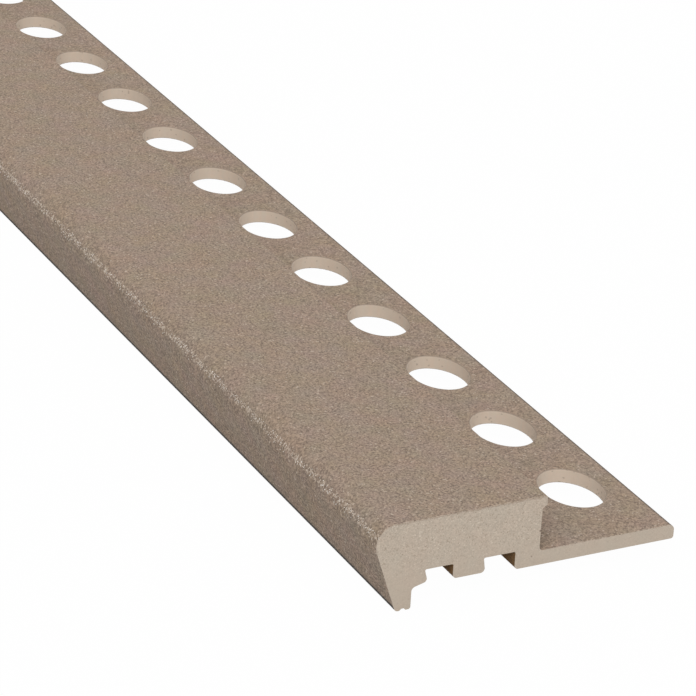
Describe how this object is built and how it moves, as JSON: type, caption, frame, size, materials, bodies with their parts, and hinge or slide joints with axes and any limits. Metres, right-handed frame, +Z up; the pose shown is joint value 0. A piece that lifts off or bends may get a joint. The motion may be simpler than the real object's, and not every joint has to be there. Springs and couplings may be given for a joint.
{
  "type": "stair nosing",
  "caption": "Extruded stair edge strip: tread block with rounded, leaning front and hanging leg, grooved beneath, and a thin rear flange with a row of oval holes.",
  "frame": {"origin": "on the underside of the flange, which is the bedding face, on the line of the holes, at the middle of the length", "axes": "+X along the length of the stock, +Y back over the tread from the nose to the flange's rear edge, +Z up out of the tread face; the nose and its leg face -Y"},
  "size_m": [1, 0.0603, 0.0172],
  "materials": {
    "sanded_composite": "matte, sand-textured"
  },
  "bodies": {
    "root": {"nosing_profile": "sanded_composite"}
  },
  "joints": []
}
